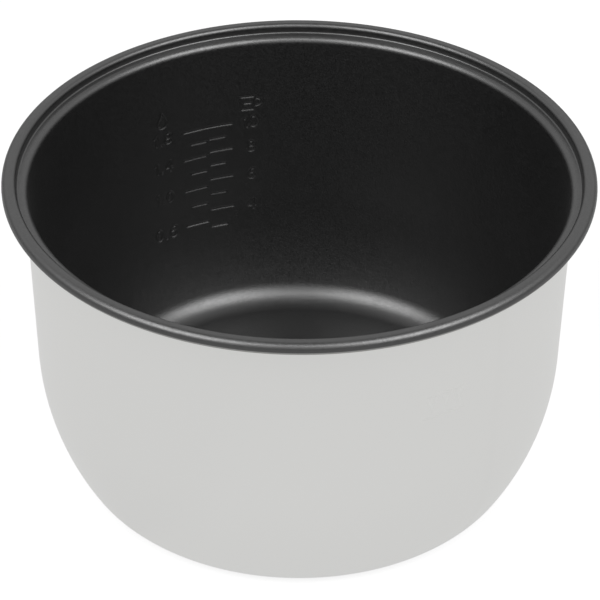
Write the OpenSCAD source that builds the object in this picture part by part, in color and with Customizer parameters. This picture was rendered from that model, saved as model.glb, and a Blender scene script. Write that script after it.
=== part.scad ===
// Inner cooking pot of a ten-cup rice cooker: a bowl spun from one aluminium blank, with a
// stepped and rolled rim, and a non-stick lining that covers the inside and wraps over the rim.
// Millimetres, +Z up. The origin is the centre of the flat base.

/* [Rim] */
// Outside diameter over the rolled rim
rim_d = 250; // [200:1:300]
// Radius of the hollow inside the roll at the rim's edge
roll_hollow_r = 1.1; // [0.6:0.1:2.5]
// Flat width on top of the rim
crest_w = 1.4; // [0.8:0.1:2.5]
// Radius on the inside of the metal's bend at the inner edge of the rim's top
crest_hollow_r = 0.2; // [0.1:0.1:1]
// Depth of the lid ledge below the rim's top
step_depth = 4.4; // [4:0.1:8]
// Flat width of the lid ledge
ledge_w = 2; // [1:0.1:6]
// Radius on the inside of the metal's bend below the ledge
neck_hollow_r = 1.3; // [0.6:0.1:3]
// Clearance between the curled edge and the step that it is tucked up to
curl_gap = 0.5; // [0.3:0.1:0.8]

/* [Bowl] */
// Height from the base to the rim's top
pot_h = 145; // [120:1:180]
// Thickness of the wall
wall_t = 1.6; // [1.2:0.1:2]
// Thickness of the base
base_t = 3.6; // [2:0.1:6]
// Lean of the straight wall, wider at the top
wall_taper = 1; // [0:0.1:3]
// Radius of the curve that brings the wall in towards the base
belly_r = 118; // [90:1:130]
// Outside radius between the curved wall and the base
corner_r = 8.6; // [6:0.1:14]
// Inside radius between the curved wall and the floor
floor_corner_r = 14; // [8:0.5:24]
// How far the edge of the flat base lies inside the wall's top
base_inset = 20.9; // [14:0.1:30]

/* [Lining] */
// Thickness of the non-stick lining
lining_t = 0.1; // [0.06:0.01:0.2]
// Angle below level at which the lining stops on the roll
lining_stop_angle = 12; // [0:1:40]

/* [Cup scale] */
// Direction of the scale's centre line, from +X towards +Y
scale_angle = 112.3; // [0:0.1:360]
// Cups at the top line
full_cups = 10; // [6:1:12]
// Cups at the lowest mark
least_cups = 3; // [1:1:5]
// Litres in one cup
cup_litres = 0.18; // [0.15:0.01:0.25]
// Height of the top line above the base
top_line_h = 97.6; // [80:0.1:110]
// Drop from the top line to the first cup mark
first_gap = 6.5; // [4:0.1:9]
// Growth of each gap over the one above it
gap_growth = 0.43; // [0:0.01:0.8]
// Length of a long mark
long_mark = 11; // [6:0.5:16]
// Length of a short mark
short_mark = 7.4; // [4:0.1:12]
// Gap between the cup marks and the litre marks
scale_gap = 2; // [1:0.1:5]
// Height of a pressed line
mark_w = 0.8; // [0.6:0.1:1.5]
// Depth that a mark is pressed into the inside
mark_depth = 0.4; // [0.3:0.05:0.6]
// Height that a mark stands out on the outside
mark_ghost = 0.15; // [0.05:0.05:0.3]

/* [Fill line] */
// Direction of the fill line's centre, from +X towards +Y
fill_angle = 300.8; // [0:0.1:360]
// Height of the fill line above the base
fill_h = 92; // [50:0.5:110]
// Length of the fill line
fill_len = 19; // [8:0.5:40]

/* [Hidden] */
$fn = 180;

ARC_TOL = 0.01;    // how far a round stretch's straight pieces may lie off it
FREE_SIDE = 1;     // how far a cutter reaches into open space
AXIS = [0, 0];

shell_colour = [0.80, 0.80, 0.79];
lining_colour = [0.17, 0.17, 0.17];

// Radii of the bends on the lined surface
sheet_t = wall_t + lining_t;
roll_r = roll_hollow_r + sheet_t;
crest_bend_r = crest_hollow_r + sheet_t;
neck_r = neck_hollow_r + sheet_t;

// The rim's centres, on the lined surface: the roll, the crest's inner bend, the step and the neck
rim_r = rim_d / 2;
roll_c = [rim_r - roll_r, pot_h - roll_r];
bend_c = [roll_c[0] - crest_w, pot_h - crest_bend_r];
step_r = bend_c[0] - crest_bend_r;
ledge_z = pot_h - step_depth;
neck_c = [step_r - ledge_w, ledge_z - neck_r];
neck_in_r = neck_c[0] - neck_r;

// Directions along and square to the straight wall
wall_out = [cos(wall_taper), -sin(wall_taper)];
wall_up = [sin(wall_taper), cos(wall_taper)];

// The wall's inside line is tangent to the neck bend, and the metal lies a lining's thickness outside it
wall_line_in = neck_c * wall_out - neck_r + lining_t;
wall_line_out = wall_line_in + wall_t;

// Centres of the outside corner, of the belly that is tangent to wall and corner, and of the inside corner
corner_c = [neck_in_r - base_inset, corner_r];
belly_shift = wall_line_out - belly_r - corner_c * wall_out;
belly_rise = sqrt(pow(belly_r - corner_r, 2) - pow(belly_shift, 2));
belly_c = corner_c + belly_shift * wall_out + belly_rise * wall_up;
floor_c = tangent_corner(belly_r - wall_t, floor_corner_r, base_t);
corner_lean = angle_of(corner_c - belly_c);
floor_lean = angle_of(floor_c - belly_c);

function tangent_corner(outer_r, inner_r, floor_z) =
    let (z = floor_z + inner_r)
    [belly_c[0] + sqrt(pow(outer_r - inner_r, 2) - pow(z - belly_c[1], 2)), z];

function angle_of(v) = atan2(v[1], v[0]);

// Points of an arc, both ends included
function arc(centre, r, from, to) =
    let (step = 2 * acos(1 - ARC_TOL / r))
    let (n = max(2, ceil(abs(to - from) / step)))
    [for (i = [0 : n]) centre + r * [cos(from + (to - from) * i / n), sin(from + (to - from) * i / n)]];

// Floor, corner, belly and wall on the inside, from the axis outwards. off is the distance
// from the metal into the bowl.
function bowl_inside(off) = concat(
    [[0, base_t + off]],
    arc(floor_c, floor_corner_r - off, -90, floor_lean),
    arc(belly_c, belly_r - wall_t - off, floor_lean, -wall_taper));

// Neck, ledge, step, crest and roll, from the wall outwards. off is the distance from the lined
// surface into the metal, and last is the angle at which the roll ends.
function rim_path(off, last) = concat(
    arc(neck_c, neck_r - off, 180 - wall_taper, 90),
    [[step_r + off, ledge_z - off]],
    arc(bend_c, crest_bend_r - off, 180, 90),
    arc(roll_c, roll_r - off, 90, last));

// Radius of the metal's inside face and of its outside face at a height on the wall
function on_belly(z, r) = belly_c[0] + sqrt(pow(r, 2) - pow(z - belly_c[1], 2));
function on_wall(z, line) = (line + z * sin(wall_taper)) / cos(wall_taper);
function face_in(z) =
    z < belly_c[1] - (belly_r - wall_t) * sin(wall_taper)
    ? on_belly(z, belly_r - wall_t)
    : on_wall(z, wall_line_in);
function face_out(z) =
    z < belly_c[1] - belly_r * sin(wall_taper)
    ? on_belly(z, belly_r)
    : on_wall(z, wall_line_out);

// Height of the mark for a number of cups
function mark_h(cups) =
    let (down = full_cups - cups)
    top_line_h - first_gap * down - gap_growth * down * (down - 1) / 2;

// Each mark of the scale as [height, start, length], with start and length along the wall from
// the centre line. The first is the top line, cup marks lie to one side and litre marks to the other.
litre_step = 0.2;
full_litres = full_cups * cup_litres;
least_litres = 0.6;
cup_marks = [
    for (cups = [full_cups - 1 : -1 : least_cups])
    let (len = (full_cups - cups) % 2 == 0 ? long_mark : short_mark)
    [mark_h(cups), -scale_gap / 2 - len, len]];
litre_marks = [
    for (i = [1 : round((full_litres - least_litres) / litre_step)])
    let (len = i % 2 == 0 ? long_mark : short_mark)
    [mark_h((full_litres - i * litre_step) / cup_litres), scale_gap / 2, len]];
top_line = [[top_line_h, -scale_gap / 2 - long_mark, 2 * long_mark + scale_gap]];
scale_marks = concat(top_line, cup_marks, litre_marks);

// A bar that follows the lean of the wall: its height z, its start and length along the wall,
// and how far its near and far sides lie outside the face
module wall_bar(inside, z, start, len, width, near, far) {
    per_mm = 360 / (2 * PI * face_in(z));
    low = z - width / 2;
    high = z + width / 2;
    low_face = inside ? face_in(low) : face_out(low);
    high_face = inside ? face_in(high) : face_out(high);
    rotate([0, 0, start * per_mm])
        rotate_extrude(angle = len * per_mm)
            polygon([
                [low_face + near, low],
                [low_face + far, low],
                [high_face + far, high],
                [high_face + near, high]]);
}

// Every pressed line, with its sides near and far from the face, trimmed all round by trim
module pressed_lines(inside, near, far, trim) {
    width = mark_w - 2 * trim;
    rotate([0, 0, scale_angle])
        for (m = scale_marks)
            wall_bar(inside, m[0], m[1] + trim, m[2] - 2 * trim, width, near, far);
    rotate([0, 0, fill_angle])
        wall_bar(inside, fill_h, trim - fill_len / 2, fill_len - 2 * trim, width, near, far);
}

// The spun metal without its pressed lines
module plain_shell() {
    last = -90;
    inner_face = concat(bowl_inside(0), rim_path(lining_t, last));
    tuck_outer = [step_r + sheet_t + curl_gap, roll_c[1] - roll_r + lining_t];
    tuck_inner = tuck_outer + [0, wall_t];
    back = rim_path(sheet_t, last);
    outer_face = concat(
        [tuck_outer, tuck_inner],
        [for (i = [len(back) - 1 : -1 : 0]) back[i]],
        arc(belly_c, belly_r, -wall_taper, corner_lean),
        arc(corner_c, corner_r, corner_lean, -90),
        [AXIS]);
    rotate_extrude() polygon(concat(inner_face, outer_face));
}

module pot_shell() {
    color(shell_colour)
        difference() {
            union() {
                plain_shell();
                pressed_lines(false, -wall_t / 2, mark_ghost, 0);
            }
            pressed_lines(true, -FREE_SIDE, mark_depth, 0);
        }
}

// The lining follows the metal's inside and the rim, and dips into each pressed line
module nonstick_lining() {
    metal_side = concat(bowl_inside(0), rim_path(lining_t, -lining_stop_angle));
    food_side = concat(bowl_inside(lining_t), rim_path(0, -lining_stop_angle));
    color(lining_colour)
        difference() {
            union() {
                rotate_extrude()
                    polygon(concat(metal_side, [for (i = [len(food_side) - 1 : -1 : 0]) food_side[i]]));
                pressed_lines(true, -lining_t / 2, mark_depth, 0);
            }
            pressed_lines(true, -FREE_SIDE, mark_depth - lining_t, lining_t);
        }
}

pot_shell();
nonstick_lining();
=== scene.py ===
"""The looks of a rice cooker's inner pot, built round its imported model.

The pot is a bowl spun from one aluminium blank, with a stepped and rolled rim, and a non-stick
lining that covers the inside and wraps over the rim. Both are turned on the pot's axis from one
outline, and the water scale is pressed through them as relief.
"""

import logging
import math
from dataclasses import dataclass, field
from enum import Enum

import bpy
import numpy as np
from mathutils import Matrix, Vector


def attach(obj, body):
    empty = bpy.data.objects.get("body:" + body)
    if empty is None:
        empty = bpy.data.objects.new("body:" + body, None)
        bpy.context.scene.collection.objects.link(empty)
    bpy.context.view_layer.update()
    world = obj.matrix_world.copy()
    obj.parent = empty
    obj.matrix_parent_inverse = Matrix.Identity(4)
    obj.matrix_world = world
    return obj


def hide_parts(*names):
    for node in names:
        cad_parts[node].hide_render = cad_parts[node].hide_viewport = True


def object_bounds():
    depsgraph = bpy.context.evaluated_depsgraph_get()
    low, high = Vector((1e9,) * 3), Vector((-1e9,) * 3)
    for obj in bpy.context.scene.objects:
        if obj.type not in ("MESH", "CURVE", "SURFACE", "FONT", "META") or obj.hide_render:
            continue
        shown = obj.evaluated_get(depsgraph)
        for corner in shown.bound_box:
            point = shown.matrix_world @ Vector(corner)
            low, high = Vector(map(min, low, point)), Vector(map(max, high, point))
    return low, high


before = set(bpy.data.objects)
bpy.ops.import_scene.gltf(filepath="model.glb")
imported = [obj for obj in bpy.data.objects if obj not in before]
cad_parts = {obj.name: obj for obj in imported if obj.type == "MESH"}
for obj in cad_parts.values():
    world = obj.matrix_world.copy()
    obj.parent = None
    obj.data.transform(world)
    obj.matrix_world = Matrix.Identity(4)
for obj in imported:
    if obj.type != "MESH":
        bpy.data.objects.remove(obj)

LOG = logging.getLogger("inner_pot")
MM = 0.001
LOW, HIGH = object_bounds()

Point = tuple[float, float]
Run = list[Point]


def linear(hex_colour: str) -> tuple[float, float, float, float]:
    """Turns an sRGB colour into the linear one that shaders take.

    Args:
        hex_colour: Six hex digits, two each for red, green and blue.

    Returns:
        Linear red, green and blue, with an alpha of 1.
    """
    channels = [int(hex_colour[i:i + 2], 16) / 255 for i in (0, 2, 4)]
    red, green, blue = [c / 12.92 if c <= 0.04045 else ((c + 0.055) / 1.055) ** 2.4 for c in channels]
    return red, green, blue, 1.0


def add_node(tree: bpy.types.NodeTree, kind: str, settings: dict, links: dict) -> bpy.types.Node:
    """Adds one node with its settings and its incoming links.

    Args:
        tree: The node tree that the node goes into.
        kind: The node's type, such as ShaderNodeBump.
        settings: A value for each named input, or for each of the node's own fields.
        links: The output socket that feeds each input, by the input's name or number.

    Returns:
        The new node.
    """
    node = tree.nodes.new(kind)
    fields = [name for name in settings if hasattr(node, str(name)) and name not in node.inputs]
    for name in fields:
        setattr(node, name, settings[name])
    for name in settings:
        if name not in fields:
            node.inputs[name].default_value = settings[name]
    for name, output in links.items():
        tree.links.new(output, node.inputs[name])
    return node


# ---------------------------------------------------------------- outline


def arc(centre: Point, radius: float, start: float, end: float, step: float) -> Run:
    """Lists the points of an arc, both ends included.

    Args:
        centre: The arc's centre as radius and height from the pot's axis and base.
        radius: The arc's radius.
        start: Angle of the first point, in degrees.
        end: Angle of the last point, in degrees.
        step: The widest angle between two points, in degrees.

    Returns:
        The points in order.
    """
    count = max(2, math.ceil(abs(end - start) / step))
    angles = [math.radians(start + (end - start) * i / count) for i in range(count + 1)]
    return [(centre[0] + radius * math.cos(a), centre[1] + radius * math.sin(a)) for a in angles]


def straight(a: Point, b: Point, spacing: float) -> Run:
    """Lists the points of a straight stretch, both ends included.

    Args:
        a: The first point.
        b: The last point.
        spacing: The widest distance between two points.

    Returns:
        The points in order.
    """
    count = max(1, math.ceil(math.dist(a, b) / spacing))
    return [(a[0] + (b[0] - a[0]) * i / count, a[1] + (b[1] - a[1]) * i / count) for i in range(count + 1)]


@dataclass(frozen=True)
class PotForm:
    """The pot's driving sizes in millimetres, and the outlines that follow from them.

    The largest radius and the height come from the frame. Distances called off are measured from
    the metal's inside face into the bowl, so the outside face lies at minus the wall's thickness.

    Attributes:
        rim_r: Largest radius, over the rolled rim.
        pot_h: Height from the base to the rim's top.
        roll_hollow_r: Radius of the hollow inside the roll.
        crest_w: Flat width on top of the rim.
        crest_hollow_r: Radius on the inside of the metal's bend at the crest's inner edge.
        step_depth: Depth of the lid ledge below the rim's top.
        ledge_w: Flat width of the lid ledge.
        ledge_fillet_r: Round between the ledge and the step.
        neck_hollow_r: Radius on the inside of the metal's bend below the ledge.
        curl_gap: Clearance between the curled edge and the step that it is tucked up to.
        wall_t: Thickness of the wall.
        base_t: Thickness of the base.
        taper: Lean of the straight wall in degrees, wider at the top.
        belly_r: Radius of the curve that brings the wall in towards the base.
        corner_r: Outside radius between the belly and the base.
        floor_corner_r: Inside radius between the belly and the floor.
        base_inset: How far the edge of the flat base lies inside the wall's top.
        lining_t: Thickness of the lining.
        lining_stop: Angle below level, in degrees, at which the lining stops on the roll.
        row: Height of the mesh's rows on the wall.
        floor_row: Width of the mesh's rings on the flat floor and base.
        bend_step: Turn between two rows of a bend of the rim, in degrees.
        corner_step: Turn between two rows of a corner of the bowl, in degrees.
        fillet_step: Turn between two rows of the ledge's round, in degrees.
    """

    rim_r: float = HIGH.x / MM
    pot_h: float = HIGH.z / MM
    roll_hollow_r: float = 1.1
    crest_w: float = 1.4
    crest_hollow_r: float = 0.2
    step_depth: float = 4.4
    ledge_w: float = 2.0
    ledge_fillet_r: float = 0.8
    neck_hollow_r: float = 1.3
    curl_gap: float = 0.5
    wall_t: float = 1.6
    base_t: float = 3.6
    taper: float = 1.0
    belly_r: float = 118.0
    corner_r: float = 8.6
    floor_corner_r: float = 14.0
    base_inset: float = 20.9
    lining_t: float = 0.1
    lining_stop: float = 12.0
    row: float = 3.0
    floor_row: float = 24.0
    bend_step: float = 7.5
    corner_step: float = 3.75
    fillet_step: float = 15.0

    @property
    def sheet_t(self) -> float:
        """Thickness of the wall with its lining."""
        return self.wall_t + self.lining_t

    @property
    def roll_r(self) -> float:
        """Outside radius of the roll."""
        return self.roll_hollow_r + self.sheet_t

    @property
    def crest_bend_r(self) -> float:
        """Radius of the lined bend at the crest's inner edge."""
        return self.crest_hollow_r + self.sheet_t

    @property
    def neck_r(self) -> float:
        """Radius of the lined bend between the ledge and the wall."""
        return self.neck_hollow_r + self.sheet_t

    @property
    def roll_c(self) -> Point:
        """Centre of the roll."""
        return self.rim_r - self.roll_r, self.pot_h - self.roll_r

    @property
    def bend_c(self) -> Point:
        """Centre of the bend at the crest's inner edge."""
        return self.roll_c[0] - self.crest_w, self.pot_h - self.crest_bend_r

    @property
    def step_r(self) -> float:
        """Radius of the upright step between the ledge and the crest."""
        return self.bend_c[0] - self.crest_bend_r

    @property
    def ledge_z(self) -> float:
        """Height of the lid ledge."""
        return self.pot_h - self.step_depth

    @property
    def neck_c(self) -> Point:
        """Centre of the bend between the ledge and the wall."""
        return self.step_r - self.ledge_w, self.ledge_z - self.neck_r

    @property
    def lean(self) -> tuple[float, float]:
        """Cosine and sine of the wall's taper."""
        return math.cos(math.radians(self.taper)), math.sin(math.radians(self.taper))

    @property
    def wall_line(self) -> float:
        """Distance of the metal's inside wall line from the origin, square to the line."""
        cosine, sine = self.lean
        return self.neck_c[0] * cosine - self.neck_c[1] * sine - self.neck_r + self.lining_t

    @property
    def corner_c(self) -> Point:
        """Centre of the outside corner between the belly and the base."""
        return self.neck_c[0] - self.neck_r - self.base_inset, self.corner_r

    @property
    def belly_c(self) -> Point:
        """Centre of the belly, which is tangent to the wall and to the outside corner."""
        cosine, sine = self.lean
        across = self.corner_c[0] * cosine - self.corner_c[1] * sine
        shift = self.wall_line + self.wall_t - self.belly_r - across
        rise = math.sqrt((self.belly_r - self.corner_r) ** 2 - shift ** 2)
        return (
            self.corner_c[0] + shift * cosine + rise * sine,
            self.corner_c[1] - shift * sine + rise * cosine,
        )

    @property
    def floor_c(self) -> Point:
        """Centre of the inside corner between the belly and the floor."""
        z = self.base_t + self.floor_corner_r
        reach = self.belly_r - self.wall_t - self.floor_corner_r
        return self.belly_c[0] + math.sqrt(reach ** 2 - (z - self.belly_c[1]) ** 2), z

    def lean_of(self, centre: Point) -> float:
        """Gives the direction in which an arc meets the belly.

        Args:
            centre: The arc's centre.

        Returns:
            The angle above level, in degrees.
        """
        return math.degrees(math.atan2(centre[1] - self.belly_c[1], centre[0] - self.belly_c[0]))

    def wall_radius(self, z: np.ndarray, off: float) -> np.ndarray:
        """Gives the radius of a face of the wall or belly.

        Args:
            z: Heights above the base.
            off: Which face, as a distance from the metal's inside into the bowl.

        Returns:
            The radius at each height.
        """
        cosine, sine = self.lean
        radius = self.belly_r - self.wall_t - off
        rise = np.clip(z - self.belly_c[1], -radius, radius)
        belly = self.belly_c[0] + np.sqrt(radius ** 2 - rise ** 2)
        wall = (self.wall_line - off + z * sine) / cosine
        return np.where(z < self.belly_c[1] - radius * sine, belly, wall)

    def bowl(self, off: float) -> Run:
        """Floor, inside corner, belly and wall, from the axis outwards.

        Args:
            off: Which face, as a distance from the metal's inside into the bowl.

        Returns:
            The points in order.
        """
        floor_z = self.base_t + off
        floor = straight((0.0, floor_z), (self.floor_c[0], floor_z), self.floor_row)
        floor_lean = self.lean_of(self.floor_c)
        corner = arc(self.floor_c, self.floor_corner_r - off, -90, floor_lean, self.corner_step)
        belly_step = math.degrees(self.row / self.belly_r)
        belly = arc(self.belly_c, self.belly_r - self.wall_t - off, floor_lean, -self.taper, belly_step)
        neck = arc(self.neck_c, self.neck_r - self.lining_t + off, 180 - self.taper, 90, self.bend_step)
        return floor + corner + belly + straight(belly[-1], neck[0], self.row)

    def rim(self, depth: float, last: float) -> Run:
        """Neck, ledge, step, crest and roll, from the wall outwards.

        Args:
            depth: Distance from the lined surface into the metal.
            last: Angle at which the roll ends, in degrees.

        Returns:
            The points in order.
        """
        fillet_c = (self.step_r - self.ledge_fillet_r, self.ledge_z + self.ledge_fillet_r)
        return (
            arc(self.neck_c, self.neck_r - depth, 180 - self.taper, 90, self.bend_step)
            + arc(fillet_c, self.ledge_fillet_r + depth, -90, 0, self.fillet_step)
            + arc(self.bend_c, self.crest_bend_r - depth, 180, 90, self.bend_step)
            + arc(self.roll_c, self.roll_r - depth, 90, last, self.bend_step)
        )

    def outside(self) -> Run:
        """Outside of the wall, belly, corner and base, from the wall inwards to the axis."""
        corner_lean = self.lean_of(self.corner_c)
        belly_step = math.degrees(self.row / self.belly_r)
        belly = arc(self.belly_c, self.belly_r, -self.taper, corner_lean, belly_step)
        corner = arc(self.corner_c, self.corner_r, corner_lean, -90, self.corner_step)
        neck_end = arc(self.neck_c, self.neck_hollow_r, 180 - self.taper, 90, self.bend_step)[0]
        return (
            straight(neck_end, belly[0], self.row)
            + belly
            + corner
            + straight(corner[-1], (0.0, 0.0), self.floor_row)
        )

    def shell_outline(self) -> Run:
        """Outline of the spun metal, from the axis at the floor round to the axis at the base."""
        last = -90.0
        edge_r = self.step_r + self.sheet_t + self.curl_gap
        edge_z = self.roll_c[1] - self.roll_r + self.lining_t
        return (
            self.bowl(0.0)
            + self.rim(self.lining_t, last)
            + [(edge_r, edge_z), (edge_r, edge_z + self.wall_t)]
            + self.rim(self.sheet_t, last)[::-1]
            + self.outside()
        )

    def lining_outline(self) -> Run:
        """Outline of the lining, along the metal's side and back along the food's side."""
        metal_side = self.bowl(0.0) + self.rim(self.lining_t, -self.lining_stop)
        food_side = self.bowl(self.lining_t) + self.rim(0.0, -self.lining_stop)
        return metal_side + food_side[::-1]


# ---------------------------------------------------------------- water scale


class Symbol(Enum):
    """Signs that stand beside the numbers, where no words are drawn."""

    CUP = "measuring cup"
    DROP = "drop of water"
    LEVEL = "pointers down to a level"


def digit_runs(digit: str) -> list[Run]:
    """Draws a plain digit or a point in a box one wide and one high, centred on the origin.

    Args:
        digit: One of the characters that the scale uses.

    Returns:
        The strokes of the digit.
    """
    def ring(x: float, y: float, rx: float, ry: float, start: float = 0, end: float = 360) -> Run:
        """An oval stroke or a part of one."""
        unit = arc((0.0, 0.0), 1.0, start, end, 15)
        return [(x + rx * px, y + ry * py) for px, py in unit]

    strokes = {
        "0": [ring(0, 0, 0.5, 0.5)],
        "1": [[(-0.5, 0.28), (0.3, 0.5), (0.3, -0.5)]],
        "4": [[(0.22, -0.5), (0.22, 0.5), (-0.5, -0.18), (0.5, -0.18)]],
        "6": [ring(0, -0.2, 0.5, 0.3), ring(0.3, -0.2, 0.8, 0.7, 180, 90)],
        "8": [ring(0, 0.26, 0.42, 0.24), ring(0, -0.24, 0.5, 0.26)],
        ".": [[(0, -0.5), (0, -0.46)]],
    }
    return strokes[digit]


def symbol_runs(symbol: Symbol) -> list[Run]:
    """Draws a sign in millimetres, centred on the origin.

    Args:
        symbol: The sign to draw.

    Returns:
        The strokes of the sign.
    """
    if symbol is Symbol.CUP:
        body = [(-5.2, 3.4), (-4.0, -3.4), (1.2, -3.4), (2.4, 3.4), (-5.2, 3.4)]
        handle = [(2.0 + 3.2 * x, 0.4 + 2.0 * y) for x, y in arc((0.0, 0.0), 1.0, 80, -80, 20)]
        level = [(-2.9, 0.0), (0.1, 0.0)]
        return [body, handle, level]
    if symbol is Symbol.DROP:
        bulb = [(2.3 * x, 2.3 * y - 1.4) for x, y in arc((0.0, 0.0), 1.0, 150, 390, 15)]
        return [[(0.0, 3.8), *bulb, (0.0, 3.8)]]
    half_w = 2.4
    half_h = 3.9
    pointer = [(-half_w, half_h), (half_w, half_h), (0.0, -half_h), (-half_w, half_h)]
    return [[(x + shift, y) for x, y in pointer] for shift in (-6.4, 0.0, 6.4)]


def placed(runs: list[Run], u: float, z: float, wide: float = 1.0, high: float = 1.0) -> list[Run]:
    """Scales strokes and moves them to their place on the unrolled wall."""
    return [[(u + wide * x, z + high * y) for x, y in run] for run in runs]


@dataclass(frozen=True)
class PressedGroup:
    """Strokes that are pressed into one part of the wall.

    Attributes:
        angle: Direction of the group's centre line, in degrees from +X towards +Y.
        runs: The strokes, with the distance to the right as read from inside, and the height.
    """

    angle: float
    runs: list[Run]

    def distance(self, u: np.ndarray, z: np.ndarray) -> np.ndarray:
        """Gives the distance of each place on the unrolled wall from the nearest stroke."""
        nearest = np.full(u.shape, np.inf)
        for run in self.runs:
            for (ax, ay), (bx, by) in zip(run, run[1:]):
                dx, dy = bx - ax, by - ay
                along = np.clip(((u - ax) * dx + (z - ay) * dy) / (dx * dx + dy * dy), 0, 1)
                nearest = np.minimum(nearest, np.hypot(u - ax - along * dx, z - ay - along * dy))
        return nearest


@dataclass(frozen=True)
class WaterScale:
    """The scale for cups and litres on the inside, and the fill line, in millimetres.

    Attributes:
        angle: Direction of the scale's centre line, in degrees from +X towards +Y.
        full_cups: Cups at the top line.
        least_cups: Cups at the lowest mark.
        cup_litres: Litres in one cup.
        litre_step: Litres between two litre marks.
        least_litres: Litres at the lowest mark.
        top_h: Height of the top line above the base.
        first_gap: Drop from the top line to the first cup mark.
        gap_growth: Growth of each gap over the one above it.
        long_mark: Length of a long mark.
        short_mark: Length of a short mark.
        centre_gap: Gap between the cup marks and the litre marks.
        digit_w: Width of a digit.
        digit_h: Height of a digit.
        narrow: Share of that width that the narrow characters take.
        cup_label_u: Where the cup numbers lie to the right of the centre line.
        cup_label_gap: Space between the digits of a cup number.
        litre_label_u: Where the litre numbers lie to the right of the centre line.
        litre_label_gap: Space between the characters of a litre number.
        sign_rise: Height of the signs over the top line.
        fill_angle: Direction of the fill line's centre, in degrees from +X towards +Y.
        fill_h: Height of the fill line above the base.
        fill_len: Length of the fill line.
        fill_sign_rise: Height of the sign over the fill line.
    """

    angle: float = 112.3
    full_cups: int = 10
    least_cups: int = 3
    cup_litres: float = 0.18
    litre_step: float = 0.2
    least_litres: float = 0.6
    top_h: float = 97.6
    first_gap: float = 6.5
    gap_growth: float = 0.43
    long_mark: float = 11.0
    short_mark: float = 7.4
    centre_gap: float = 2.0
    digit_w: float = 3.1
    digit_h: float = 5.4
    narrow: dict[str, float] = field(default_factory=lambda: {"1": 0.45, ".": 0.2})
    cup_label_u: float = 21.0
    cup_label_gap: float = 1.1
    litre_label_u: float = -23.0
    litre_label_gap: float = 1.9
    sign_rise: float = 10.0
    fill_angle: float = 300.8
    fill_h: float = 92.0
    fill_len: float = 19.0
    fill_sign_rise: float = 7.0

    def mark_h(self, cups: float) -> float:
        """Height of the mark for a number of cups."""
        down = self.full_cups - cups
        return self.top_h - self.first_gap * down - self.gap_growth * down * (down - 1) / 2

    def tick(self, place: int, side: int, z: float) -> Run:
        """Draws one short or long line beside the centre line.

        Args:
            place: How many marks it lies below the top line.
            side: 1 for the right of the centre line, -1 for the left.
            z: Its height.

        Returns:
            The stroke.
        """
        length = self.long_mark if place % 2 == 0 else self.short_mark
        near = self.centre_gap / 2
        return [(side * near, z), (side * (near + length), z)]

    def label(self, text: str, u: float, z: float, gap: float) -> list[Run]:
        """Draws a number in plain digits.

        Args:
            text: The number.
            u: Where its centre lies to the right of the centre line.
            z: Height of its centre.
            gap: Space between two digits.

        Returns:
            The strokes of the number.
        """
        sizes = [self.digit_w * self.narrow.get(digit, 1.0) for digit in text]
        left = u - (sum(sizes) + gap * (len(text) - 1)) / 2
        runs = []
        for digit, size in zip(text, sizes):
            runs += placed(digit_runs(digit), left + size / 2, z, size, self.digit_h)
            left += size + gap
        return runs

    def scale_group(self) -> PressedGroup:
        """The marks, numbers and signs of the scale."""
        reach = self.centre_gap / 2 + self.long_mark
        runs = [[(-reach, self.top_h), (reach, self.top_h)]]
        for cups in range(self.full_cups - 1, self.least_cups - 1, -1):
            runs.append(self.tick(self.full_cups - cups, 1, self.mark_h(cups)))
        for cups in range(self.full_cups, self.least_cups, -2):
            runs += self.label(str(cups), self.cup_label_u, self.mark_h(cups), self.cup_label_gap)
        full_litres = self.full_cups * self.cup_litres
        for place in range(round((full_litres - self.least_litres) / self.litre_step) + 1):
            litres = full_litres - place * self.litre_step
            z = self.mark_h(litres / self.cup_litres)
            if place > 0:
                runs.append(self.tick(place, -1, z))
            if place % 2 == 0:
                runs += self.label(f"{litres:.1f}", self.litre_label_u, z, self.litre_label_gap)
        sign_z = self.top_h + self.sign_rise
        runs += placed(symbol_runs(Symbol.CUP), self.cup_label_u, sign_z)
        runs += placed(symbol_runs(Symbol.DROP), self.litre_label_u, sign_z)
        return PressedGroup(self.angle, runs)

    def fill_group(self) -> PressedGroup:
        """The fill line and the sign over it."""
        line = [(-self.fill_len / 2, self.fill_h), (self.fill_len / 2, self.fill_h)]
        sign = placed(symbol_runs(Symbol.LEVEL), 0.0, self.fill_h + self.fill_sign_rise)
        return PressedGroup(self.fill_angle, [line, *sign])


# ---------------------------------------------------------------- mesh work


def only_selected(obj: bpy.types.Object) -> None:
    """Makes obj the only selected and the active object."""
    bpy.ops.object.select_all(action="DESELECT")
    obj.select_set(True)
    bpy.context.view_layer.objects.active = obj


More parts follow.
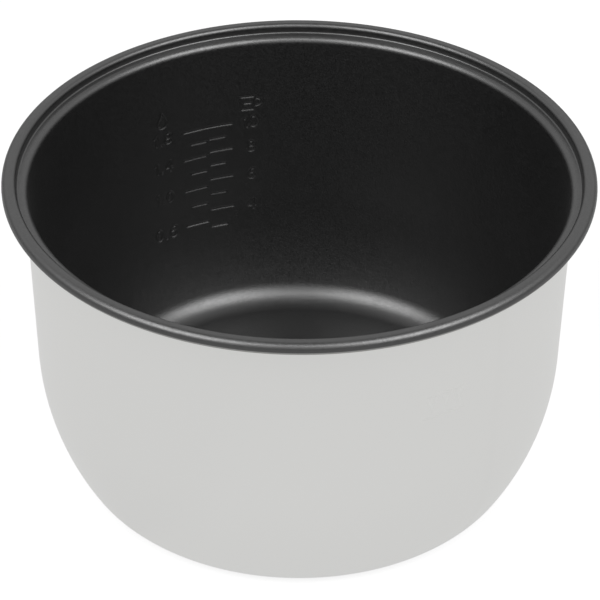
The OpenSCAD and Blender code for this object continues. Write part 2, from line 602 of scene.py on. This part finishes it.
@dataclass(frozen=True)
class Lathe:
    """Turns an outline into a closed mesh about the pot's axis.

    Attributes:
        segments: Steps round the axis.
        merge_distance: Distance in metres below which two places are one.
    """

    segments: int = 240
    merge_distance: float = 1e-6

    def turn(self, name: str, outline: Run) -> bpy.types.Object:
        """Draws the outline by extruding a vertex, and spins it.

        Args:
            name: Name of the new object.
            outline: Radius and height of each point in millimetres, both ends on the axis.

        Returns:
            The turned object.
        """
        bpy.ops.object.select_all(action="DESELECT")
        bpy.ops.mesh.primitive_plane_add(size=MM, location=(0, 0, 0))
        obj = bpy.context.object
        obj.name = name
        bpy.ops.object.mode_set(mode="EDIT")
        bpy.ops.mesh.select_mode(type="VERT")
        bpy.ops.mesh.select_all(action="SELECT")
        bpy.ops.mesh.merge(type="CENTER")
        at = Vector((0, 0, 0))
        for number, (r, z) in enumerate(outline):
            to = Vector((r * MM, 0, z * MM))
            step = to - at
            if number == 0:
                bpy.ops.transform.translate(value=step)
            elif step.length > self.merge_distance:
                bpy.ops.mesh.extrude_region_move(TRANSFORM_OT_translate={"value": step})
            at = to
        bpy.ops.mesh.select_all(action="SELECT")
        bpy.ops.mesh.spin(steps=self.segments, angle=math.tau, center=(0, 0, 0), axis=(0, 0, 1))
        bpy.ops.mesh.select_all(action="SELECT")
        bpy.ops.mesh.remove_doubles(threshold=self.merge_distance)
        bpy.ops.mesh.normals_make_consistent(inside=False)
        bpy.ops.object.mode_set(mode="OBJECT")
        return obj


@dataclass(frozen=True)
class Press:
    """Presses strokes through the wall from the inside.

    Attributes:
        depth: How deep a stroke goes on the inside, in millimetres.
        ghost: How far it stands out on the outside.
        half_width: Distance from a stroke's middle to where the surface is untouched.
        reach: How far from a stroke the faces are made fine.
        cuts: Cuts across each face near a stroke.
        snap: How far a face may lie off the true wall before it is pressed.
    """

    depth: float = 0.4
    ghost: float = 0.28
    half_width: float = 0.75
    reach: float = 2.6
    cuts: int = 7
    snap: float = 0.04

    def unroll(self, form: PotForm, group: PressedGroup, co: np.ndarray) -> tuple[np.ndarray, np.ndarray]:
        """Unrolls places on the wall.

        Args:
            form: The sizes that the piece was turned from.
            group: The strokes whose centre line the places are measured from.
            co: The places, in metres.

        Returns:
            Distances to the right of the centre line and heights, in millimetres.
        """
        z = co[:, 2] / MM
        turn = group.angle - np.degrees(np.arctan2(co[:, 1], co[:, 0]))
        turn = (turn + 180) % 360 - 180
        return np.radians(turn) * form.wall_radius(z, 0.0), z

    def on_face(self, form: PotForm, co: np.ndarray, off: float) -> np.ndarray:
        """Tells which places lie on one face of the wall or belly.

        Args:
            form: The sizes that the piece was turned from.
            co: The places, in metres.
            off: The face, as a distance from the metal's inside into the bowl.

        Returns:
            True for each place on the face.
        """
        z = co[:, 2] / MM
        radius = np.hypot(co[:, 0], co[:, 1]) / MM
        inside_wall = (z > form.floor_c[1] + form.row) & (z < form.neck_c[1] - form.row)
        return inside_wall & (np.abs(radius - form.wall_radius(z, off)) < self.snap)

    def refine(
        self, obj: bpy.types.Object, form: PotForm, groups: list[PressedGroup], offs: list[float]
    ) -> None:
        """Subdivides the faces that lie near a stroke.

        Args:
            obj: The turned piece.
            form: The sizes it was turned from.
            groups: The strokes.
            offs: The piece's faces on the wall, as distances from the metal's inside.
        """
        mesh = obj.data
        centres = np.zeros(len(mesh.polygons) * 3)
        mesh.polygons.foreach_get("center", centres)
        centres = centres.reshape(-1, 3)
        wall = np.logical_or.reduce([self.on_face(form, centres, off) for off in offs])
        near = np.zeros(len(centres), bool)
        for group in groups:
            near |= group.distance(*self.unroll(form, group, centres)) < self.reach
        only_selected(obj)
        bpy.ops.object.mode_set(mode="EDIT")
        bpy.ops.mesh.select_mode(type="FACE")
        bpy.ops.mesh.select_all(action="DESELECT")
        bpy.ops.object.mode_set(mode="OBJECT")
        mesh.polygons.foreach_set("select", wall & near)
        bpy.ops.object.mode_set(mode="EDIT")
        bpy.ops.mesh.subdivide(number_cuts=self.cuts)
        bpy.ops.object.mode_set(mode="OBJECT")

    def press(
        self, obj: bpy.types.Object, form: PotForm, groups: list[PressedGroup], offs: list[float]
    ) -> None:
        """Makes the wall fine near each stroke and moves it out by the stroke's depth.

        Args:
            obj: The turned piece.
            form: The sizes it was turned from.
            groups: The strokes.
            offs: The piece's faces on the wall, as distances from the metal's inside.
        """
        self.refine(obj, form, groups, offs)
        co = np.zeros(len(obj.data.vertices) * 3)
        obj.data.vertices.foreach_get("co", co)
        co = co.reshape(-1, 3)
        relief = np.zeros(len(co))
        for group in groups:
            near = np.minimum(group.distance(*self.unroll(form, group, co)) / self.half_width, 1)
            relief = np.maximum(relief, 0.5 + 0.5 * np.cos(math.pi * near))
        moved = co.copy()
        for off in offs:
            face = self.on_face(form, co, off)
            height = self.depth if off >= 0 else self.ghost
            radius = form.wall_radius(co[:, 2] / MM, off) + height * relief
            scale = radius * MM / np.hypot(co[:, 0], co[:, 1]).clip(MM)
            moved[face, :2] = co[face, :2] * scale[face, None]
        obj.data.vertices.foreach_set("co", moved.ravel())
        obj.data.update()


# ---------------------------------------------------------------- finishes


@dataclass(frozen=True)
class SpunAluminium:
    """Aluminium sheet, spun over a former and left satin.

    The lathe leaves fine lines round the axis, which show only as a soft grain across the wall.
    The bare metal at the roll is painted a darker grey, as painted shade for the dark that it mirrors under
    the roll.

    Attributes:
        name: The material's name.
        colour: Colour of the bare metal.
        roll_colour: Darker grey painted on the bare metal at the roll, as painted shade.
        roll_from_mm: Radius at which the painted shade begins.
        roll_to_mm: Radius at which it is full.
        line_mm: Spacing of the lathe's lines.
        streak_mm: Length of a line.
        line_depth_mm: Depth of a line.
        roughness: Least and greatest roughness.
    """

    name: str = "spun_aluminium_satin"
    colour: str = "f0f0ee"
    roll_colour: str = "9a9a98"
    roll_from_mm: float = 119.5
    roll_to_mm: float = 121.0
    line_mm: float = 0.5
    streak_mm: float = 30.0
    line_depth_mm: float = 0.004
    roughness: tuple[float, float] = (0.34, 0.42)

    def material(self) -> bpy.types.Material:
        """Builds the material, with the lines on rings about the pot's axis."""
        material = bpy.data.materials.new(self.name)
        material.use_nodes = True
        tree = material.node_tree
        shader = tree.nodes["Principled BSDF"]
        place = add_node(tree, "ShaderNodeTexCoord", {}, {})
        parts = add_node(tree, "ShaderNodeSeparateXYZ", {}, {"Vector": place.outputs["Object"]})
        flat = add_node(
            tree, "ShaderNodeCombineXYZ", {}, {"X": parts.outputs["X"], "Y": parts.outputs["Y"]}
        )
        radius = add_node(
            tree, "ShaderNodeVectorMath", {"operation": "LENGTH"}, {0: flat.outputs["Vector"]}
        )
        along = add_node(
            tree, "ShaderNodeMath", {"operation": "ADD"},
            {0: radius.outputs["Value"], 1: parts.outputs["Z"]},
        )
        rings = add_node(
            tree, "ShaderNodeCombineXYZ", {},
            {"X": parts.outputs["X"], "Y": parts.outputs["Y"], "Z": along.outputs["Value"]},
        )
        around = 1 / (self.streak_mm * MM)
        across = 1 / (self.line_mm * MM)
        stretched = add_node(
            tree, "ShaderNodeMapping", {"Scale": (around, around, across)},
            {"Vector": rings.outputs["Vector"]},
        )
        lines = add_node(
            tree, "ShaderNodeTexNoise", {"Scale": 1.0, "Detail": 3.0, "Roughness": 0.6},
            {"Vector": stretched.outputs["Vector"]},
        )
        relief = add_node(
            tree, "ShaderNodeBump", {"Strength": 1.0, "Distance": self.line_depth_mm * MM},
            {"Height": lines.outputs["Fac"]},
        )
        low, high = self.roughness
        rough = add_node(
            tree, "ShaderNodeMapRange", {"To Min": low, "To Max": high}, {"Value": lines.outputs["Fac"]}
        )
        # Painted shade: the bare metal at the roll turns a darker grey, blended in by radius.
        roll_shade = add_node(
            tree, "ShaderNodeMapRange",
            {"From Min": self.roll_from_mm * MM, "From Max": self.roll_to_mm * MM},
            {"Value": radius.outputs["Value"]},
        )
        colour = add_node(
            tree, "ShaderNodeMix",
            {"data_type": "RGBA", 6: linear(self.colour), 7: linear(self.roll_colour)},
            {0: roll_shade.outputs["Result"]},
        )
        shader.inputs["Metallic"].default_value = 1.0
        tree.links.new(colour.outputs[2], shader.inputs["Base Color"])
        tree.links.new(rough.outputs["Result"], shader.inputs["Roughness"])
        tree.links.new(relief.outputs["Normal"], shader.inputs["Normal"])
        return material


@dataclass(frozen=True)
class FlakedNonstick:
    """Sprayed PTFE coating with a fine metal flake.

    It is a near-black grey with a soft broad gloss, and the flakes give it a fine bright grain.
    Real flakes are about 0.03 mm, so they are drawn coarser here to show at all.

    Attributes:
        name: The material's name.
        dark: Colour of the darkest flake.
        light: Colour of the palest flake.
        flake_mm: Size of a flake.
        grain_mm: Size of the spray's grain.
        grain_depth_mm: Depth of the grain.
        roughness: Least and greatest roughness.
        ior: Index of refraction, raised by the metal flake.
    """

    name: str = "nonstick_ptfe_flake"
    dark: str = "080808"
    light: str = "121212"
    flake_mm: float = 0.5
    grain_mm: float = 1.1
    grain_depth_mm: float = 0.03
    roughness: tuple[float, float] = (0.32, 0.45)
    ior: float = 1.85

    def material(self) -> bpy.types.Material:
        """Builds the material, with a flake in each cell and a faint spray grain."""
        material = bpy.data.materials.new(self.name)
        material.use_nodes = True
        tree = material.node_tree
        shader = tree.nodes["Principled BSDF"]
        place = add_node(tree, "ShaderNodeTexCoord", {}, {})
        flakes = add_node(
            tree, "ShaderNodeTexVoronoi", {"Scale": 1 / (self.flake_mm * MM)},
            {"Vector": place.outputs["Object"]},
        )
        tint = add_node(tree, "ShaderNodeSeparateColor", {}, {"Color": flakes.outputs["Color"]})
        colour = add_node(
            tree, "ShaderNodeMix",
            {"data_type": "RGBA", 6: linear(self.dark), 7: linear(self.light)},
            {0: tint.outputs["Red"]},
        )
        low, high = self.roughness
        rough = add_node(
            tree, "ShaderNodeMapRange", {"To Min": low, "To Max": high}, {"Value": tint.outputs["Green"]}
        )
        grain = add_node(
            tree, "ShaderNodeTexNoise", {"Scale": 1 / (self.grain_mm * MM), "Detail": 4.0, "Roughness": 0.7},
            {"Vector": place.outputs["Object"]},
        )
        relief = add_node(
            tree, "ShaderNodeBump", {"Strength": 1.0, "Distance": self.grain_depth_mm * MM},
            {"Height": grain.outputs["Fac"]},
        )
        shader.inputs["IOR"].default_value = self.ior
        tree.links.new(colour.outputs[2], shader.inputs["Base Color"])
        tree.links.new(rough.outputs["Result"], shader.inputs["Roughness"])
        tree.links.new(relief.outputs["Normal"], shader.inputs["Normal"])
        return material


# ---------------------------------------------------------------- the pot


@dataclass
class InnerPot:
    """The spun shell and its lining.

    Attributes:
        form: Sizes of the pot.
        scale: The water scale and the fill line.
        lathe: What turns both pieces.
        press: What presses the scale through them.
        metal: Finish of the shell.
        coating: Finish of the lining.
        crease: Angle in radians above which an edge stays sharp.
    """

    form: PotForm = field(default_factory=PotForm)
    scale: WaterScale = field(default_factory=WaterScale)
    lathe: Lathe = field(default_factory=Lathe)
    press: Press = field(default_factory=Press)
    metal: SpunAluminium = field(default_factory=SpunAluminium)
    coating: FlakedNonstick = field(default_factory=FlakedNonstick)
    crease: float = math.radians(70)

    def finish_piece(self, obj: bpy.types.Object, material: bpy.types.Material, node: str) -> None:
        """Smooths a piece, dresses it and puts it in its node's place.

        Args:
            obj: The piece.
            material: Its finish.
            node: The node that it stands for.
        """
        only_selected(obj)
        bpy.ops.object.shade_smooth_by_angle(angle=self.crease)
        obj.data.materials.append(material)
        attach(obj, "root")
        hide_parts(node)
        LOG.info("%s: %d faces", obj.name, len(obj.data.polygons))

    def build_shell(self) -> None:
        """Turns and presses the metal."""
        shell = self.lathe.turn("spun_shell", self.form.shell_outline())
        groups = [self.scale.scale_group(), self.scale.fill_group()]
        self.press.press(shell, self.form, groups, [0.0, -self.form.wall_t])
        self.finish_piece(shell, self.metal.material(), "pot_shell")

    def build_lining(self) -> None:
        """Turns and presses the lining."""
        lining = self.lathe.turn("coated_lining", self.form.lining_outline())
        groups = [self.scale.scale_group(), self.scale.fill_group()]
        self.press.press(lining, self.form, groups, [self.form.lining_t, 0.0])
        self.finish_piece(lining, self.coating.material(), "nonstick_lining")


# ---------------------------------------------------------------- studio


@dataclass(frozen=True)
class SoftBox:
    """A square soft lamp that looks at the pot.

    Attributes:
        name: The lamp's name.
        place: Where it hangs, in metres.
        side: Length of its side, in metres.
        watts: Its power.
    """

    name: str
    place: tuple[float, float, float]
    side: float
    watts: float

    def hang(self, target: Vector) -> None:
        """Adds the lamp.

        Args:
            target: The place that it faces.
        """
        data = bpy.data.lights.new(self.name, "AREA")
        data.shape = "SQUARE"
        data.size = self.side
        data.energy = self.watts
        lamp = bpy.data.objects.new(self.name, data)
        bpy.context.scene.collection.objects.link(lamp)
        lamp.location = self.place
        lamp.rotation_euler = (target - lamp.location).to_track_quat("-Z", "Y").to_euler()


@dataclass(frozen=True)
class Studio:
    """A white table under two soft lamps, with a pale room round it.

    Attributes:
        lamps: The soft lamps.
        table_side: Length of the table's side, in metres.
        table_drop: Gap that keeps the table clear of the base, in metres.
        table_colour: The table's own colour.
        seen_share: How much of the white glow replaces that colour to the camera.
        mirrored_glow: Brightness of the table in reflections.
        room_dark: Brightness of the room at the horizon and overhead.
        room_pale: Brightness of the room between them.
        horizon: Heights of direction between which the room turns from dark to pale.
        overhead: Heights of direction between which it turns from dark back to pale.
    """

    lamps: tuple[SoftBox, ...] = (
        SoftBox("soft_box_left", (-0.76, -0.6, 1.28), 1.05, 20.0),
        SoftBox("soft_box_right", (0.76, -0.6, 1.28), 1.05, 20.0),
    )
    table_side: float = 12.0
    table_drop: float = 0.0002
    table_colour: str = "f2f2f2"
    seen_share: float = 0.8
    mirrored_glow: float = 0.72
    room_dark: float = 0.25
    room_pale: float = 0.9
    horizon: tuple[float, float] = (0.12, 0.38)
    overhead: tuple[float, float] = (0.95, 0.7)

    def build_table(self) -> None:
        """Lays the table just under the base, clear from below so that the base can be seen."""
        bpy.ops.object.select_all(action="DESELECT")
        bpy.ops.mesh.primitive_plane_add(size=self.table_side, location=(0, 0, -self.table_drop))
        table = bpy.context.object
        table.name = "table_top"
        material = bpy.data.materials.new("white_table")
        material.use_nodes = True
        tree = material.node_tree
        tree.nodes.remove(tree.nodes["Principled BSDF"])
        paper = add_node(tree, "ShaderNodeBsdfDiffuse", {"Color": linear(self.table_colour)}, {})
        ray = add_node(tree, "ShaderNodeLightPath", {}, {})
        strength = add_node(
            tree, "ShaderNodeMapRange", {"To Min": 1.0, "To Max": self.mirrored_glow},
            {"Value": ray.outputs["Is Glossy Ray"]},
        )
        glow = add_node(tree, "ShaderNodeEmission", {}, {"Strength": strength.outputs["Result"]})
        seen = add_node(
            tree, "ShaderNodeMath", {"operation": "MULTIPLY", 1: self.seen_share},
            {0: ray.outputs["Is Camera Ray"]},
        )
        share = add_node(
            tree, "ShaderNodeMath", {"operation": "MAXIMUM"},
            {0: seen.outputs["Value"], 1: ray.outputs["Is Glossy Ray"]},
        )
        mix = add_node(
            tree, "ShaderNodeMixShader", {},
            {0: share.outputs["Value"], 1: paper.outputs["BSDF"], 2: glow.outputs["Emission"]},
        )
        clear = add_node(tree, "ShaderNodeBsdfTransparent", {}, {})
        side = add_node(tree, "ShaderNodeNewGeometry", {}, {})
        top_only = add_node(
            tree, "ShaderNodeMixShader", {},
            {0: side.outputs["Backfacing"], 1: mix.outputs["Shader"], 2: clear.outputs["BSDF"]},
        )
        tree.links.new(top_only.outputs["Shader"], tree.nodes["Material Output"].inputs["Surface"])
        table.data.materials.append(material)

    def build_room(self) -> None:
        """Makes the world dark at the horizon and overhead, pale between, and white behind the pot."""
        world = bpy.data.worlds.new("pale_room")
        bpy.context.scene.world = world
        world.use_nodes = True
        tree = world.node_tree
        way = add_node(tree, "ShaderNodeTexCoord", {}, {})
        parts = add_node(tree, "ShaderNodeSeparateXYZ", {}, {"Vector": way.outputs["Generated"]})
        height = add_node(tree, "ShaderNodeMath", {"operation": "ABSOLUTE"}, {0: parts.outputs["Z"]})
        rising = add_node(
            tree, "ShaderNodeMapRange",
            {
                "interpolation_type": "SMOOTHSTEP",
                "From Min": self.horizon[0],
                "From Max": self.horizon[1],
            },
            {"Value": height.outputs["Value"]},
        )
        falling = add_node(
            tree, "ShaderNodeMapRange",
            {
                "interpolation_type": "SMOOTHSTEP",
                "From Min": self.overhead[0],
                "From Max": self.overhead[1],
            },
            {"Value": height.outputs["Value"]},
        )
        pale = add_node(
            tree, "ShaderNodeMath", {"operation": "MULTIPLY"},
            {0: rising.outputs["Result"], 1: falling.outputs["Result"]},
        )
        level = add_node(
            tree, "ShaderNodeMapRange", {"To Min": self.room_dark, "To Max": self.room_pale},
            {"Value": pale.outputs["Value"]},
        )
        ray = add_node(tree, "ShaderNodeLightPath", {}, {})
        strength = add_node(
            tree, "ShaderNodeMath", {"operation": "MAXIMUM"},
            {0: level.outputs["Result"], 1: ray.outputs["Is Camera Ray"]},
        )
        background = tree.nodes["Background"]
        background.inputs["Color"].default_value = (1, 1, 1, 1)
        tree.links.new(strength.outputs["Value"], background.inputs["Strength"])

    def build(self, target: Vector) -> None:
        """Builds the table, the room and the lamps.

        Args:
            target: The place that the lamps face.
        """
        self.build_table()
        self.build_room()
        for lamp in self.lamps:
            lamp.hang(target)
        bpy.context.scene.view_settings.view_transform = "Standard"


@dataclass(frozen=True)
class CameraStand:
    """The camera's place behind and above the middle of the rim, and its aim.

    Attributes:
        back: Distance behind the pot's axis, in rim radii.
        up: Height over the middle of the rim's edge, in rim radii.
        pitch: Downward tilt, in radians.
        yaw: Turn to the right, in radians.
        roll: Lean of the camera about its own axis, in radians.
        lens_mm: Focal length.
        sensor_mm: Width of the sensor.
        roll_drop_mm: Depth of the middle of the rim's edge below the rim's top.
    """

    back: float = 7.05006
    up: float = 4.62757
    pitch: float = 0.631758
    yaw: float = 0.00065
    roll: float = 0.00682
    lens_mm: float = 150.0
    sensor_mm: float = 36.0
    roll_drop_mm: float = 3.1

    def build(self) -> None:
        """Adds the camera and makes it the scene's own."""
        data = bpy.data.cameras.new("product_camera")
        data.lens = self.lens_mm
        data.sensor_width = self.sensor_mm
        camera = bpy.data.objects.new("product_camera", data)
        bpy.context.scene.collection.objects.link(camera)
        unit = HIGH.x
        ahead = Vector((
            math.sin(self.yaw) * math.cos(self.pitch),
            math.cos(self.yaw) * math.cos(self.pitch),
            -math.sin(self.pitch),
        ))
        level = ahead.cross(Vector((0, 0, 1))).normalized()
        over = level.cross(ahead)
        right = level * math.cos(self.roll) + over * math.sin(self.roll)
        top = over * math.cos(self.roll) - level * math.sin(self.roll)
        turn = Matrix((right, top, -ahead)).transposed()
        rim_z = HIGH.z - self.roll_drop_mm * MM
        place = Vector((0, -self.back * unit, rim_z + self.up * unit))
        camera.matrix_world = Matrix.Translation(place) @ turn.to_4x4()
        bpy.context.scene.camera = camera


def main() -> None:
    """Builds the pot and its studio."""
    logging.basicConfig(level=logging.INFO, format="%(name)s: %(message)s")
    CameraStand().build()
    Studio().build(Vector((0, 0, HIGH.z / 2)))
    pot = InnerPot()
    pot.build_shell()
    pot.build_lining()


if __name__ == "__main__":
    main()
